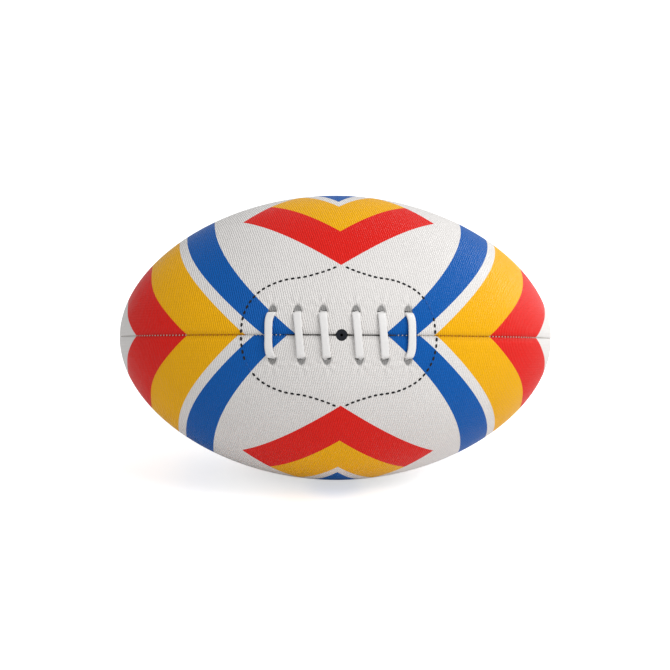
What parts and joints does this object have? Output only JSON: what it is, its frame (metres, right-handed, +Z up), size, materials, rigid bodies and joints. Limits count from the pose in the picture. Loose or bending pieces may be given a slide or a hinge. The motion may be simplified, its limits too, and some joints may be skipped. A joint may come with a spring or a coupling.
{
  "type": "rugby ball",
  "caption": "Full-size oval rugby ball with sewn ribbed panels, printed chevron bands, flat lacing, bracket stitching and a needle valve.",
  "frame": {"origin": "centre of the ball", "axes": "+X along the ball's length, +Z up; the lacing faces -Y, tilted 18 degrees upwards"},
  "size_m": [0.288, 0.19, 0.1896],
  "materials": {
    "cover": "satin, fine slanting ribs, printed",
    "lining_cloth": "laminated plain weave",
    "seam_thread": "waxed thread",
    "patch_cloth": "stiff canvas",
    "patch_thread": "black thread",
    "lace": "smooth coated strip",
    "tongue_rubber": "matte",
    "bladder_rubber": "smooth",
    "valve_rubber": "satin black"
  },
  "bodies": {
    "root": {"cover_panel_upper_front": "cover", "cover_panel_lower_front": "cover", "cover_panel_upper_back": "cover", "cover_panel_lower_back": "cover", "panel_lining_upper_front": "lining_cloth", "panel_lining_lower_front": "lining_cloth", "panel_lining_upper_back": "lining_cloth", "panel_lining_lower_back": "lining_cloth", "seam_thread_front_left": "seam_thread", "seam_thread_front_right": "seam_thread", "seam_thread_top": "seam_thread", "seam_thread_back": "seam_thread", "seam_thread_bottom": "seam_thread", "lacing_patch_upper": "patch_cloth", "lacing_patch_lower": "patch_cloth", "patch_stitching_upper": "patch_thread", "patch_stitching_lower": "patch_thread", "lace": "lace", "lacing_tongue": "tongue_rubber", "bladder": "bladder_rubber", "bladder_valve_patch": "bladder_rubber", "valve_body": "valve_rubber", "valve_insert": "valve_rubber"}
  },
  "joints": []
}
